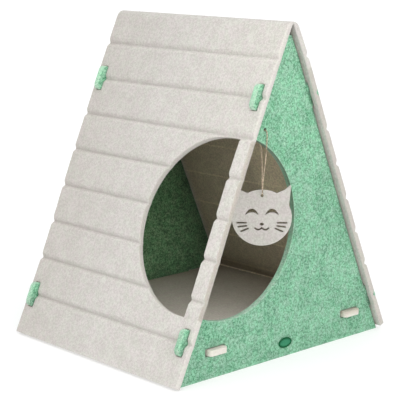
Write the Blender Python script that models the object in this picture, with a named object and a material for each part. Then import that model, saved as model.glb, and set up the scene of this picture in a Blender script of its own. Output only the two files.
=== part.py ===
"""Felt cat cave: a folded felt roof on two felt gables, with a raised floor and a hanging cat head.

Metres, +Z up. X runs across the house, -Y is the front, and the origin is on the ground under the
middle of the house. The roof is one sheet folded at the ridge. Its section is drawn from the
distance "down" along a slope, from the ridge to the foot, and the distance "out" from the straight
outer face of that slope.
"""
import math

import bmesh
import bpy
from mathutils import Matrix, Vector

# Felt
FELT = 0.009              # thickness of every stiff panel
SNUG = 0.0004             # gap between panels that touch
EDGE_GAP = 0.0010         # gap between a gable's raking edge and the roof

# Roof
APEX_HEIGHT = 0.519       # where the two straight outer faces would meet
HALF_ANGLE = math.radians(23.69)
RIDGE_DROP = 0.01785      # from that sharp apex down to the start of the first plank
PLANK = 0.060             # groove to groove
PLANKS = 9
FOOT_LEFT = 0.544         # length of each slope, the sheet is folded a little off its middle
FOOT_RIGHT = 0.539
HOUSE_DEPTH = 0.375
RIDGE_RADIUS = 0.0144     # outside of the fold
CREASE_RADIUS = 0.0019    # inside of the fold
GROOVE_WIDTH = 0.0130
GROOVE_DEPTH = 0.0048
# How far each groove stands out from the straight slope, in metres.
#         left     right
BOW = [(0.0000,  0.0000),
       (0.0008,  0.0018),
       (0.0009,  0.0010),
       (0.0012,  0.0000),
       (0.0012, -0.0004),
       (0.0002, -0.0006),
       (-0.0014, -0.0008),
       (-0.0024, -0.0006),
       (-0.0015, -0.0004),
       (0.0000,  0.0004)]

# Gables
SETBACK = 0.0095          # gable face behind the roof's front or back edge
GABLE_TOP = 0.4780        # the gable's flat tip
TAB_GROOVES = (2, 8)      # the tabs are centred on these grooves
TAB_LENGTH = 0.0385
TAB_OUT = 0.0090          # how far a tab stands out of the roof
TAB_ROUND = 0.0080
SLOT_SIDE_PLAY = 0.0009   # slot wider than the tab, each side
SLOT_END_PLAY = 0.0006
SLOT_CORNER = 0.0008

CUT_PAST = 0.0100         # how far a cutter runs past the felt, on each side

# One round opening wraps the front left edge: a circle in the slope, and one in the front gable
OPENING_RADIUS = 0.1316
SIDE_HOLE_DOWN = 0.314    # circle's centre, down the left slope
SIDE_HOLE_IN = 0.0399     # and back from the roof's front edge
STRIP_TOP = 0.0238        # felt left standing along the roof's front edge, above and below
STRIP_FOOT = 0.0285
DOOR_X = -0.1130
DOOR_Z = 0.2114
ROUND_STEPS = 96

# Floor
FLOOR_TOP = 0.0445
FLOOR_TAB_X = 0.1443       # tab centres, each side of FLOOR_TAB_SHIFT
FLOOR_TAB_SHIFT = 0.0033
FLOOR_TAB_WIDTH = 0.0342
FLOOR_TAB_OUT = 0.0086
FLOOR_TAB_ROUND = 0.0050
FLOOR_SLOT_END_PLAY = 0.0024
FLOOR_SLOT_PLAY = 0.0008

# Pendant, drawn from its twine hole
HANG_X = -0.0452
HANG_Z = 0.2505
TWINE_HOLE_Z = 0.3465
TWINE_HOLE_RADIUS = 0.0020
PENDANT_TURN = math.radians(-43.2)
PENDANT_THICK = 0.003
HEAD_HALF_WIDTH = 0.0432
HEAD_HALF_HEIGHT = 0.0411
HEAD_DROP = 0.0325        # head centre below the hole
PENDANT_HOLE_RADIUS = 0.0022
EAR_BASE_IN = math.radians(61.0)
EAR_BASE_OUT = math.radians(26.0)
EAR_TIP = (0.0418, 0.0160)
EAR_TIP_ROUND = 0.0012
LINE_WIDTH = 0.0017       # whiskers and mouth

# Twine
TWINE_RADIUS = 0.00085
TWINE_FRONT_GAP = 0.0034  # how far its front strand stands off the gable, over the doorway's rim
TWINE_SIDE_STEP = 0.0018  # how far its back strand hangs to the side of the front one
TWINE_BEND = 0.0035       # radius of its bends at the two holes
TWINE_STEP = 0.0027

# Badge
BADGE_X = 0.0022
BADGE_Z = 0.0217
BADGE_HALF_WIDTH = 0.0137
BADGE_HALF_HEIGHT = 0.0078
BADGE_THICK = 0.0012
BADGE_RIM = 0.0011
BADGE_RIM_OUT = 0.0004

LEFT, RIGHT = -1, 1
HALF_DEPTH = HOUSE_DEPTH / 2
GABLE_FACE = HALF_DEPTH - SETBACK
GABLE_MIDDLE = GABLE_FACE - FELT / 2


# ---------------------------------------------------------------- helpers

def clear_scene():
    for obj in list(bpy.data.objects):
        bpy.data.objects.remove(obj, do_unlink=True)


def material(name, colour, roughness):
    """A matt finish for one sub-part."""
    mat = bpy.data.materials.new(name)
    mat.use_nodes = True
    shader = mat.node_tree.nodes["Principled BSDF"]
    shader.inputs["Base Color"].default_value = (*colour, 1.0)
    shader.inputs["Roughness"].default_value = roughness
    shader.inputs["Metallic"].default_value = 0.0
    return mat


def add_object(name, bm, mat):
    """Turn a finished bmesh into a named object."""
    bmesh.ops.recalc_face_normals(bm, faces=bm.faces)
    mesh = bpy.data.meshes.new(name)
    bm.to_mesh(mesh)
    bm.free()
    obj = bpy.data.objects.new(name, mesh)
    bpy.context.scene.collection.objects.link(obj)
    if mat:
        mesh.materials.append(mat)
    return obj


def prism(name, outline, place, thickness, mat=None):
    """Extrude a closed 2-D outline by thickness; place maps (u, v, w) to a point."""
    bm = bmesh.new()
    rims = []
    for w in (0.0, thickness):
        rims.append([bm.verts.new(place(u, v, w)) for u, v in outline])
    bm.faces.new(rims[0])
    bm.faces.new(rims[1])
    count = len(outline)
    for i in range(count):
        j = (i + 1) % count
        bm.faces.new((rims[0][i], rims[0][j], rims[1][j], rims[1][i]))
    return add_object(name, bm, mat)


def cut(target, cutters):
    """Boolean each cutter out of the target."""
    for cutter in cutters:
        cutter.hide_render = True
        cutter.display_type = "WIRE"
        step = target.modifiers.new(cutter.name, "BOOLEAN")
        step.operation = "DIFFERENCE"
        step.solver = "EXACT"
        step.object = cutter


def rounded_box_outline(half_u, half_v, radius, steps=5):
    """Rectangle with round corners, centred on zero."""
    points = []
    for quarter in range(4):
        turn = quarter * math.pi / 2
        side_u = 1 if quarter in (0, 3) else -1
        side_v = 1 if quarter in (0, 1) else -1
        for i in range(steps + 1):
            a = turn + i / steps * math.pi / 2
            u = side_u * (half_u - radius) + radius * math.cos(a)
            v = side_v * (half_v - radius) + radius * math.sin(a)
            points.append((u, v))
    return points


def ellipse(centre_u, centre_v, half_u, half_v, steps):
    """Points of an ellipse, anticlockwise from its +u end."""
    points = []
    for i in range(steps):
        a = 2 * math.pi * i / steps
        points.append((centre_u + half_u * math.cos(a), centre_v + half_v * math.sin(a)))
    return points


# ---------------------------------------------------------------- roof section

def bow_at(side, down):
    """How far the slope stands out from straight, straight planks between the grooves."""
    column = 0 if side == LEFT else 1
    place = min(max(down / PLANK, 0.0), len(BOW) - 1.001)
    k = int(place)
    part = place - k
    return BOW[k][column] * (1 - part) + BOW[k + 1][column] * part


def slope_point(side, down, out):
    """(x, z) of a point on a slope; out is measured from the outer face."""
    reach = down + RIDGE_DROP
    lift = out + bow_at(side, down)
    x = side * (reach * math.sin(HALF_ANGLE) + lift * math.cos(HALF_ANGLE))
    z = APEX_HEIGHT - reach * math.cos(HALF_ANGLE) + lift * math.sin(HALF_ANGLE)
    return x, z


def fold_arc(side, radius, apex_height, steps):
    """Quarter of the ridge's bend, from the slope up to the top (the top point left out)."""
    centre = apex_height - radius / math.sin(HALF_ANGLE)
    points = []
    for i in range(steps):
        a = HALF_ANGLE + (math.pi / 2 - HALF_ANGLE) * i / steps
        points.append((side * radius * math.cos(a), centre + radius * math.sin(a)))
    return points, (0.0, centre + radius)


def groove_points(side, number):
    """One V groove with eased shoulders, listed down the slope."""
    middle = number * PLANK
    profile = [(-1.0, 0.0), (-0.78, 0.14), (-0.42, 0.52), (0.0, 1.0), (0.42, 0.52), (0.78, 0.14), (1.0, 0.0)]
    points = []
    for place, depth in profile:
        points.append(slope_point(side, middle + place * GROOVE_WIDTH / 2, -depth * GROOVE_DEPTH))
    return points


def roof_section():
    """Closed outline of the folded sheet in X and Z."""
    def outer(side):
        points, _ = fold_arc(side, RIDGE_RADIUS, APEX_HEIGHT, 6)
        points.reverse()
        for number in range(1, PLANKS):
            points += groove_points(side, number)
        points.append(slope_point(side, FOOT_LEFT if side == LEFT else FOOT_RIGHT, 0.0))
        return points

    def inner(side):
        inner_apex = APEX_HEIGHT - FELT / math.sin(HALF_ANGLE)
        points, _ = fold_arc(side, CREASE_RADIUS, inner_apex, 4)
        points.reverse()
        for number in range(1, PLANKS):
            points.append(slope_point(side, number * PLANK, -FELT))
        points.append(slope_point(side, FOOT_LEFT if side == LEFT else FOOT_RIGHT, -FELT))
        return points

    _, top = fold_arc(RIGHT, RIDGE_RADIUS, APEX_HEIGHT, 6)
    _, crease = fold_arc(RIGHT, CREASE_RADIUS, APEX_HEIGHT - FELT / math.sin(HALF_ANGLE), 4)
    left_out = outer(LEFT)
    left_out.reverse()
    left_in = inner(LEFT)
    right_in = inner(RIGHT)
    right_in.reverse()
    return left_out + [top] + outer(RIGHT) + right_in + [crease] + left_in


# ---------------------------------------------------------------- slope cutters

def slope_place(side):
    """Maps (down, y, out) on a slope to a point."""
    def place(down, y, out):
        x, z = slope_point(side, down, out)
        return Vector((x, y, z))
    return place


def straight_place(side, anchor):
    """As slope_place, but flat: the frame of the slope at one distance down."""
    origin = Vector(slope_place(side)(anchor, 0.0, 0.0))
    along = Vector((side * math.sin(HALF_ANGLE), 0.0, -math.cos(HALF_ANGLE)))
    outward = Vector((side * math.cos(HALF_ANGLE), 0.0, math.sin(HALF_ANGLE)))

    def place(down, y, out):
        return origin + along * (down - anchor) + outward * out + Vector((0.0, y, 0.0))
    return place


def tab_slot(side, groove, y_middle):
    """Cutter for the slot that one gable tab passes through."""
    middle = groove * PLANK
    place = straight_place(side, middle)
    half_length = TAB_LENGTH / 2 + SLOT_END_PLAY
    half_width = FELT / 2 + SLOT_SIDE_PLAY
    outline = rounded_box_outline(half_length, half_width, SLOT_CORNER, steps=2)

    def lay(u, v, w):
        return place(middle + u, y_middle + v, w - FELT - CUT_PAST)
    return prism("slot_cutter", outline, lay, FELT + 2 * CUT_PAST)


def side_opening():
    """Cutter for the round opening in the left slope, straight along the front strip."""
    place = straight_place(LEFT, SIDE_HOLE_DOWN)
    centre_y = -HALF_DEPTH + SIDE_HOLE_IN
    start = math.asin((STRIP_FOOT - SIDE_HOLE_IN) / OPENING_RADIUS)
    sweep = math.pi - start - math.asin((STRIP_TOP - SIDE_HOLE_IN) / OPENING_RADIUS)
    steps = round(ROUND_STEPS * sweep / (2 * math.pi))
    points = []
    for i in range(steps + 1):
        a = start + sweep * i / steps
        down = SIDE_HOLE_DOWN + OPENING_RADIUS * math.cos(a)
        points.append((down, centre_y + OPENING_RADIUS * math.sin(a)))

    def lay(u, v, w):
        return place(u, v, w - FELT - CUT_PAST)
    return prism("side_opening_cutter", points, lay, FELT + 2 * CUT_PAST)


def make_roof(mat):
    section = roof_section()

    def lay(x, z, w):
        return Vector((x, -HALF_DEPTH + w, z))
    roof = prism("roof", section, lay, HOUSE_DEPTH, mat)
    cutters = [side_opening()]
    for side in (LEFT, RIGHT):
        for groove in TAB_GROOVES:
            for front in (-1, 1):
                cutters.append(tab_slot(side, groove, front * GABLE_MIDDLE))
    cut(roof, cutters)
    return roof


# ---------------------------------------------------------------- gables

def round_tab(low, high, root, end, radius, steps=5):
    """Corners of a tab that runs from root to end between low and high, round at its free end."""
    points = [(low, root)]
    for i in range(steps + 1):
        a = math.pi / 2 * i / steps
        points.append((low + radius * (1 - math.cos(a)), end - radius * (1 - math.sin(a))))
    for i in range(steps + 1):
        a = math.pi / 2 * (1 - i / steps)
        points.append((high - radius * (1 - math.cos(a)), end - radius * (1 - math.sin(a))))
    points.append((high, root))
    return points


def tab_outline(side, groove, root):
    """A gable tab in X and Z, from its upper root to its lower root."""
    middle = groove * PLANK
    low, high = middle - TAB_LENGTH / 2, middle + TAB_LENGTH / 2
    place = straight_place(side, middle)
    free = [place(down, 0.0, out) for down, out in round_tab(low, high, root, TAB_OUT, TAB_ROUND)[1:-1]]
    points = [(point.x, point.z) for point in free]
    return [slope_point(side, low, root)] + points + [slope_point(side, high, root)]


def gable_edge(side):
    """One raking edge of a gable from its tip to the ground, with its tabs."""
    inside = -FELT - EDGE_GAP
    tip_down = down_at_height(side, GABLE_TOP, inside)
    foot_down = down_at_height(side, 0.0, inside)
    points = [slope_point(side, tip_down, inside)]
    for groove in range(1, PLANKS + 1):
        if groove in TAB_GROOVES:
            points += tab_outline(side, groove, inside)
        elif groove * PLANK < foot_down:
            points.append(slope_point(side, groove * PLANK, inside))
    points.append(slope_point(side, foot_down, inside))
    return points


def down_at_height(side, height, out):
    """Distance down a slope at which the given offset line is at a height."""
    low, high = 0.0, (PLANKS + 1) * PLANK
    for _ in range(50):
        middle = (low + high) / 2
        if slope_point(side, middle, out)[1] > height:
            low = middle
        else:
            high = middle
    return (low + high) / 2


def gable_outline():
    left = gable_edge(LEFT)
    left.reverse()
    return left + gable_edge(RIGHT)


def floor_slot(side, front):
    """Cutter for the slot that one floor tab passes through."""
    half_width = FLOOR_TAB_WIDTH / 2 + FLOOR_SLOT_END_PLAY
    outline = rounded_box_outline(half_width, FELT / 2 + FLOOR_SLOT_PLAY, SLOT_CORNER, steps=2)

    def lay(u, v, w):
        y = front * GABLE_MIDDLE + w - FELT
        return Vector((side * FLOOR_TAB_X + FLOOR_TAB_SHIFT + u, y, FLOOR_TOP - FELT / 2 + v))
    return prism("floor_slot_cutter", outline, lay, 2 * FELT)


def through_front_gable(name, outline):
    """Cutter that runs through the front gable along Y."""
    def lay(u, v, w):
        return Vector((u, -GABLE_FACE - FELT / 2 + w, v))
    return prism(name, outline, lay, 2 * FELT)


def door_cutter():
    """Cutter for the doorway in the front gable."""
    outline = ellipse(DOOR_X, DOOR_Z, OPENING_RADIUS, OPENING_RADIUS, ROUND_STEPS)
    return through_front_gable("door_cutter", outline)


def twine_hole_cutter():
    outline = ellipse(HANG_X, TWINE_HOLE_Z, TWINE_HOLE_RADIUS, TWINE_HOLE_RADIUS, 20)
    return through_front_gable("twine_hole_cutter", outline)


def make_gable(name, front, mat):
    y_low = -GABLE_FACE if front == -1 else GABLE_FACE - FELT

    def lay(x, z, w):
        return Vector((x, y_low + w, z))
    gable = prism(name, gable_outline(), lay, FELT, mat)
    cutters = [floor_slot(side, front) for side in (LEFT, RIGHT)]
    if front == -1:
        cutters += [door_cutter(), twine_hole_cutter()]
    cut(gable, cutters)
    return gable


# ---------------------------------------------------------------- floor

def make_floor(mat):
    """The floor spans the gables and touches both slopes."""
    half_width = {}
    for side in (LEFT, RIGHT):
        down = down_at_height(side, FLOOR_TOP, -FELT)
        half_width[side] = abs(slope_point(side, down, -FELT)[0]) - SNUG
    inner_y = GABLE_FACE - FELT - SNUG
    outer_y = GABLE_FACE + FLOOR_TAB_OUT
    half_tab = FLOOR_TAB_WIDTH / 2

    def tab(side, front):
        middle = side * FLOOR_TAB_X + FLOOR_TAB_SHIFT
        low, high = middle - half_tab, middle + half_tab
        return [(x, front * y) for x, y in round_tab(low, high, inner_y, outer_y, FLOOR_TAB_ROUND)]

    outline = [(-half_width[LEFT], -inner_y)]
    outline += tab(LEFT, -1) + tab(RIGHT, -1)
    outline += [(half_width[RIGHT], -inner_y), (half_width[RIGHT], inner_y)]
    back = tab(LEFT, 1) + tab(RIGHT, 1)
    back.reverse()
    outline += back + [(-half_width[LEFT], inner_y)]

    def lay(x, y, w):
        return Vector((x, y, FLOOR_TOP - FELT + w))
    return prism("floor_panel", outline, lay, FELT, mat)


# ---------------------------------------------------------------- pendant

def pendant_matrix():
    """Local u to the right, v up, w back through the felt, from the twine hole."""
    turn = Matrix.Rotation(PENDANT_TURN, 4, "Z")
    return Matrix.Translation((HANG_X, -GABLE_MIDDLE, HANG_Z)) @ turn


def pendant_place(depth_offset):
    matrix = pendant_matrix()

    def place(u, v, w):
        return matrix @ Vector((u, w - PENDANT_THICK / 2 - depth_offset, v))
    return place


def head_outline():
    """Head with two ears, anticlockwise from the right ear."""
    def on_head(angle):
        return HEAD_HALF_WIDTH * math.cos(angle), -HEAD_DROP + HEAD_HALF_HEIGHT * math.sin(angle)

    def ear(flip):
        inner, outer = Vector(on_head(EAR_BASE_IN)), Vector(on_head(EAR_BASE_OUT))
        tip = Vector(EAR_TIP)
        down_out = (outer - tip).normalized()
        down_in = (inner - tip).normalized()
        half = down_out.angle(down_in) / 2
        middle = tip + (down_out + down_in).normalized() * EAR_TIP_ROUND / math.sin(half)
        points = []
        for i in range(5):
            turn = (i / 4 - 0.5) * (math.pi - 2 * half)
            away = -(down_out + down_in).normalized()
            spun = Matrix.Rotation(turn, 2) @ away
            points.append(middle + spun * EAR_TIP_ROUND)
        waist = (inner + tip) / 2 + Vector((0.0006, -0.0016))
        points.append(waist)
        ordered = [(p.x, p.y) for p in points]
        if flip:
            ordered = [(-x, y) for x, y in reversed(ordered)]
        return ordered

    points = []
    start, stop = EAR_BASE_OUT, EAR_BASE_IN
    points.append(on_head(start))
    points += ear(False)
    steps_top = 14
    for i in range(steps_top + 1):
        points.append(on_head(stop + (math.pi - 2 * stop) * i / steps_top))
    points += ear(True)
    steps_round = 52
    for i in range(steps_round):
        points.append(on_head(math.pi - start + (math.pi + 2 * start) * i / steps_round))
    return points


def crescent(centre, half_width, rise_out, rise_in, steps=12):
    """A closed smiling eye: an arched crescent between two parabolas."""
    points = []
    for i in range(steps + 1):
        t = -1 + 2 * i / steps
        points.append((centre[0] + half_width * t, centre[1] + rise_out * (1 - abs(t) ** 2.2)))
    for i in range(1, steps):
        t = 1 - 2 * i / steps
        points.append((centre[0] + half_width * t, centre[1] + rise_in * (1 - abs(t) ** 2.2)))
    return points


def stroke(path, width):
    """Outline of a line of even width with round ends along a path."""
    left, right = [], []
    path = [Vector(p) for p in path]
    for i, point in enumerate(path):
        before = path[max(i - 1, 0)]
        after = path[min(i + 1, len(path) - 1)]
        along = (after - before).normalized()
        aside = Vector((-along.y, along.x)) * width / 2
        left.append(point + aside)
        right.append(point - aside)
    ends = []
    for point, inward in ((path[-1], path[-2]), (path[0], path[1])):
        along = (point - inward).normalized()
        aside = Vector((-along.y, along.x))
        cap = []
        for i in range(1, 4):
            a = math.pi * i / 4
            cap.append(point + (aside * math.cos(a) + along * math.sin(a)) * width / 2)
        ends.append(cap)
    outline = left + ends[0] + right[::-1] + ends[1]
    return [(p.x, p.y) for p in outline]


def mouth_path():
    """Two shallow scallops that meet under the nose."""
    points = []
    for i in range(17):
        t = -1 + 2 * i / 16
        scallop = math.sin(abs(t) * math.pi) ** 0.9 if 0 < abs(t) < 1 else 0.0
        points.append((0.0097 * t, -0.0476 - 0.0026 * scallop + 0.0006 * (1 - abs(t))))
    return points


def face_outlines():
    """The cut-through lines of the face, as (name, outline)."""
    shapes = [("nose", ellipse(0.0, -0.0417, 0.0026, 0.0017, 16)), ("mouth", stroke(mouth_path(), LINE_WIDTH))]
    # whiskers: inner end and outer end of each, in metres from the twine hole
    whiskers = [((0.0229, -0.0397), (0.0355, -0.0397)),
                ((0.0223, -0.0443), (0.0337, -0.0457)),
                ((0.0198, -0.0482), (0.0297, -0.0523))]
    for side in (-1, 1):
        shapes.append(("eye", crescent((side * 0.0145, -0.0276), 0.0092, 0.0083, 0.0035)))
        for inner, outer in whiskers:
            ends = [(side * inner[0], inner[1]), (side * outer[0], outer[1])]
            shapes.append(("whisker", stroke(ends, LINE_WIDTH)))
    return shapes


def make_pendant(mat):
    pendant = prism("pendant", head_outline(), pendant_place(0.0), PENDANT_THICK, mat)
    through = pendant_place(0.002)
    cutters = [prism("hole_cutter", ellipse(0, 0, PENDANT_HOLE_RADIUS, PENDANT_HOLE_RADIUS, 16), through, 0.007)]
    for name, outline in face_outlines():
        cutters.append(prism(name + "_cutter", outline, through, PENDANT_THICK + 0.004))
    cut(pendant, cutters)
    return pendant


# ---------------------------------------------------------------- twine

def heading(points, i):
    """Direction of a smooth curve at one of its points; the nearer neighbour counts more."""
    before = points[i] - points[max(i - 1, 0)]
    after = points[min(i + 1, len(points) - 1)] - points[i]
    if before.length == 0.0:
        return after.normalized()
    if after.length == 0.0:
        return before.normalized()
    return (before.normalized() * after.length + after.normalized() * before.length).normalized()


def smooth_line(points, step):
    """Even points on a smooth curve through the given points."""
    smooth = []
    for i in range(len(points) - 1):
        a, b = points[i], points[i + 1]
        reach = (b - a).length
        out, into = heading(points, i) * reach, heading(points, i + 1) * reach
        for j in range(24):
            t = j / 24
            smooth.append(a * (1 + 2 * t) * (1 - t) ** 2 + out * t * (1 - t) ** 2
                          + b * t ** 2 * (3 - 2 * t) - into * t ** 2 * (1 - t))
    smooth.append(points[-1])
    lengths = [0.0]
    for a, b in zip(smooth, smooth[1:]):
        lengths.append(lengths[-1] + (b - a).length)
    count = max(2, round(lengths[-1] / step))
    even = []
    for i in range(count + 1):
        want = lengths[-1] * i / count
        j = 1
        while j < len(lengths) - 1 and lengths[j] < want:
            j += 1
        part = (want - lengths[j - 1]) / (lengths[j] - lengths[j - 1])
        even.append(smooth[j - 1].lerp(smooth[j], part))
    return even


def quarter_bend(start, first, second, steps=4):
    """Points of a quarter turn of the twine's bend radius, from one direction to another."""
    centre = start + second * TWINE_BEND
    points = []
    for i in range(steps + 1):
        a = math.pi / 2 * i / steps
        points.append(centre - second * TWINE_BEND * math.cos(a) + first * TWINE_BEND * math.sin(a))
    return points


def twine_route():
    """The loop: from inside the gable's hole, down the front, through the pendant and up behind."""
    forward, down, up = Vector((0.0, -1.0, 0.0)), Vector((0.0, 0.0, -1.0)), Vector((0.0, 0.0, 1.0))
    facing = (pendant_matrix().to_3x3() @ forward).normalized()
    hole_z = TWINE_HOLE_Z - TWINE_HOLE_RADIUS + TWINE_RADIUS + SNUG
    eye = Vector((HANG_X, -GABLE_MIDDLE, HANG_Z + PENDANT_HOLE_RADIUS - TWINE_RADIUS - SNUG))
    thread = PENDANT_THICK / 2 + 0.0002
    door_edge = DOOR_Z + math.sqrt(OPENING_RADIUS ** 2 - (HANG_X - DOOR_X) ** 2)
    back_gap = TWINE_RADIUS + SNUG

    front_hole = Vector((HANG_X, -GABLE_FACE, hole_z))
    route = [Vector((HANG_X, -GABLE_MIDDLE - SNUG, hole_z))]
    route += quarter_bend(front_hole, forward, down)
    route.append(Vector((HANG_X, -GABLE_FACE - TWINE_FRONT_GAP, door_edge)))
    turn_in = quarter_bend(eye + facing * thread, facing, up)
    route += reversed(turn_in)
    route += quarter_bend(eye - facing * thread, -facing, up)
    route.append(Vector((HANG_X + TWINE_SIDE_STEP, -GABLE_FACE + FELT + back_gap, door_edge)))
    back_hole = Vector((HANG_X, -GABLE_FACE + FELT, hole_z))
    route += reversed(quarter_bend(back_hole, -forward, down))
    route.append(Vector((HANG_X, -GABLE_MIDDLE + SNUG, hole_z)))
    return route


def make_twine(mat):
    points = smooth_line(twine_route(), TWINE_STEP)
    curve = bpy.data.curves.new("twine", "CURVE")
    curve.dimensions = "3D"
    curve.bevel_depth = TWINE_RADIUS
    curve.bevel_resolution = 2
    curve.use_fill_caps = True
    spline = curve.splines.new("POLY")
    spline.points.add(len(points) - 1)
    for slot, point in zip(spline.points, points):
        slot.co = (*point, 1.0)
    curve.materials.append(mat)
    obj = bpy.data.objects.new("twine", curve)
    bpy.context.scene.collection.objects.link(obj)
    return obj


# ---------------------------------------------------------------- badge

def make_badge(mat):
    """Plain oval patch with a raised rim, on the front gable."""
    steps = 40
    rings = [(1.0, 0.0), (1.0, BADGE_THICK), (0.93, BADGE_THICK + BADGE_RIM_OUT)]
    inner = 1 - BADGE_RIM / BADGE_HALF_HEIGHT
    rings += [(inner, BADGE_THICK + BADGE_RIM_OUT), (inner - 0.06, BADGE_THICK)]
    bm = bmesh.new()
    loops = []
    for scale, out in rings:
        loop = []
        for x, z in ellipse(0, 0, BADGE_HALF_WIDTH * scale, BADGE_HALF_HEIGHT * scale, steps):
            y = -GABLE_FACE - 0.0003 - out
            loop.append(bm.verts.new((BADGE_X + x, y, BADGE_Z + z)))
        loops.append(loop)
    bm.faces.new(loops[0])
    bm.faces.new(loops[-1])
    for a, b in zip(loops, loops[1:]):
        for i in range(steps):
            j = (i + 1) % steps
            bm.faces.new((a[i], a[j], b[j], b[i]))
    return add_object("badge", bm, mat)


def main():
    clear_scene()
    off_white = material("off_white_felt", (0.66, 0.63, 0.59), 0.95)
    mint = material("mint_felt", (0.22, 0.52, 0.34), 0.95)
    floor_felt = material("floor_felt", (0.58, 0.55, 0.50), 0.95)
    pendant_felt = material("pendant_felt", (0.68, 0.66, 0.62), 0.9)
    jute = material("jute", (0.45, 0.28, 0.14), 0.9)
    dark_green = material("badge_green", (0.03, 0.20, 0.11), 0.6)
    make_roof(off_white)
    make_gable("front_gable", -1, mint)
    make_gable("back_gable", 1, mint)
    make_floor(floor_felt)
    make_pendant(pendant_felt)
    make_twine(jute)
    make_badge(dark_green)


main()
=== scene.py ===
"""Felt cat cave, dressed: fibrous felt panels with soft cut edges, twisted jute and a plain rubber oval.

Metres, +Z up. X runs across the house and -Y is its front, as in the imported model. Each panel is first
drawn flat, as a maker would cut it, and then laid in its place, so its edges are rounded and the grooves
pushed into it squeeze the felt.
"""
import math

import bmesh
import bpy
import numpy as np
from mathutils import Matrix, Vector
from mathutils.geometry import delaunay_2d_cdt
from mathutils.kdtree import KDTree


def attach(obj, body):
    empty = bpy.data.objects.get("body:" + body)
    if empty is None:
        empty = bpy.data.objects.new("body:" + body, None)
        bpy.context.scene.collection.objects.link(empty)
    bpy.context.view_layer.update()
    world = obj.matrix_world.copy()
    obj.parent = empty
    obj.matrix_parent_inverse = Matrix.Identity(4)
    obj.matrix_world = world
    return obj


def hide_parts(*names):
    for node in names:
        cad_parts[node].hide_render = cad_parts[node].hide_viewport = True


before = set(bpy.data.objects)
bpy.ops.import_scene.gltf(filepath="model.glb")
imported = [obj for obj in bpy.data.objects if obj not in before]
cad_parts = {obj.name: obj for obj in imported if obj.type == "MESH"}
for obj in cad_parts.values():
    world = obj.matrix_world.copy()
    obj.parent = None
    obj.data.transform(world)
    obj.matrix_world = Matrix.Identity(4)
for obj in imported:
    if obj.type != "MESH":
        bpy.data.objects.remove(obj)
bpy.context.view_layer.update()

LEFT, RIGHT = -1, 1
FRONT, BACK = -1, 1

# Felt
FELT = 0.009
SNUG = 0.0004
EDGE_GAP = 0.0010
ROOF_ROUND = 0.0011
PANEL_ROUND = 0.0009

# Roof
APEX_HEIGHT = 0.519
HALF_ANGLE = math.radians(23.69)
RIDGE_DROP = 0.01785
PLANK = 0.060
PLANKS = 9
FOOT = {LEFT: 0.544, RIGHT: 0.539}
HOUSE_DEPTH = 0.375
RIDGE_RADIUS = 0.0144
CREASE_RADIUS = 0.0019
GROOVE_WIDTH = 0.0130
GROOVE_DEPTH = 0.0048
INNER_CREASE = 0.0004
ROOF_CORNER = 0.0016
# How far each groove stands out from the straight slope, from the ridge down
BOW = {LEFT: [0.0, 0.0008, 0.0009, 0.0012, 0.0012, 0.0002, -0.0014, -0.0024, -0.0015, 0.0],
       RIGHT: [0.0, 0.0018, 0.0010, 0.0, -0.0004, -0.0006, -0.0008, -0.0006, -0.0004, 0.0004]}

# Gables, and the tabs that pass through the roof at two of its grooves
GABLE_TOP = 0.4780
GABLE_INSET = 0.0095
TAB_GROOVES = (2, 8)
TAB_LENGTH = 0.0385
TAB_OUT = 0.0090
TAB_ROUND = 0.0080
SLOT_SIDE_PLAY = 0.0009
SLOT_END_PLAY = 0.0006
SLOT_CORNER = 0.0008

# The round opening, in the left slope and in the front gable
OPENING_RADIUS = 0.1316
SIDE_HOLE_DOWN = 0.314
SIDE_HOLE_IN = 0.0399
STRIP_TOP = 0.0238
STRIP_FOOT = 0.0285
DOOR_X = -0.1130
DOOR_Z = 0.2114

# Floor
FLOOR_TOP = 0.0445
# a painted highlight on the roof just above the floor's edge ends this far above the floor, where painted
# shade begins
FLOOR_HIGHLIGHT_TOP = 0.0022
FLOOR_TAB_X = 0.1443
FLOOR_TAB_SHIFT = 0.0033
FLOOR_TAB_WIDTH = 0.0342
FLOOR_TAB_OUT = 0.0086
FLOOR_TAB_ROUND = 0.0050
FLOOR_SLOT_END_PLAY = 0.0024
FLOOR_SLOT_PLAY = 0.0008

# Pendant and twine
HANG_X = -0.0452
HANG_Z = 0.2505
TWINE_HOLE_Z = 0.3465
TWINE_HOLE_RADIUS = 0.0020
PENDANT_TURN = math.radians(-43.2)
PENDANT_THICK = 0.003
PENDANT_ROUND = 0.00035
HEAD_HALF_WIDTH = 0.0432
HEAD_HALF_HEIGHT = 0.0411
HEAD_DROP = 0.0325
PENDANT_HOLE_RADIUS = 0.0022
EAR_BASE_IN = math.radians(61.0)
EAR_BASE_OUT = math.radians(26.0)
EAR_TIP = (0.0418, 0.0160)
EAR_TIP_ROUND = 0.0012
EAR_HOLLOW = (0.0006, -0.0016)
LINE_WIDTH = 0.0017
NOSE = (0.0, -0.0417, 0.0026, 0.0017)
MOUTH_TOP = -0.0476
MOUTH_HALF_WIDTH = 0.0097
MOUTH_DIP = 0.0026
MOUTH_PEAK = 0.0006
EYE_X = 0.0145
EYE_Z = -0.0276
EYE_HALF_WIDTH = 0.0092
EYE_RISES = (0.0083, 0.0035)
EYE_FLATNESS = 2.2
WHISKERS = (((0.0229, -0.0397), (0.0355, -0.0397)), ((0.0223, -0.0443), (0.0337, -0.0457)),
            ((0.0198, -0.0482), (0.0297, -0.0523)))
TWINE_RADIUS = 0.00085
TWINE_FRONT_GAP = 0.0034
TWINE_SIDE_STEP = 0.0018
TWINE_BEND = 0.0035
THREAD_GAP = 0.0002

# Badge
BADGE_X = 0.0022
BADGE_Z = 0.0217
BADGE_HALF_WIDTH = 0.0137
BADGE_HALF_HEIGHT = 0.0078
BADGE_GAP = 0.0003

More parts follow.
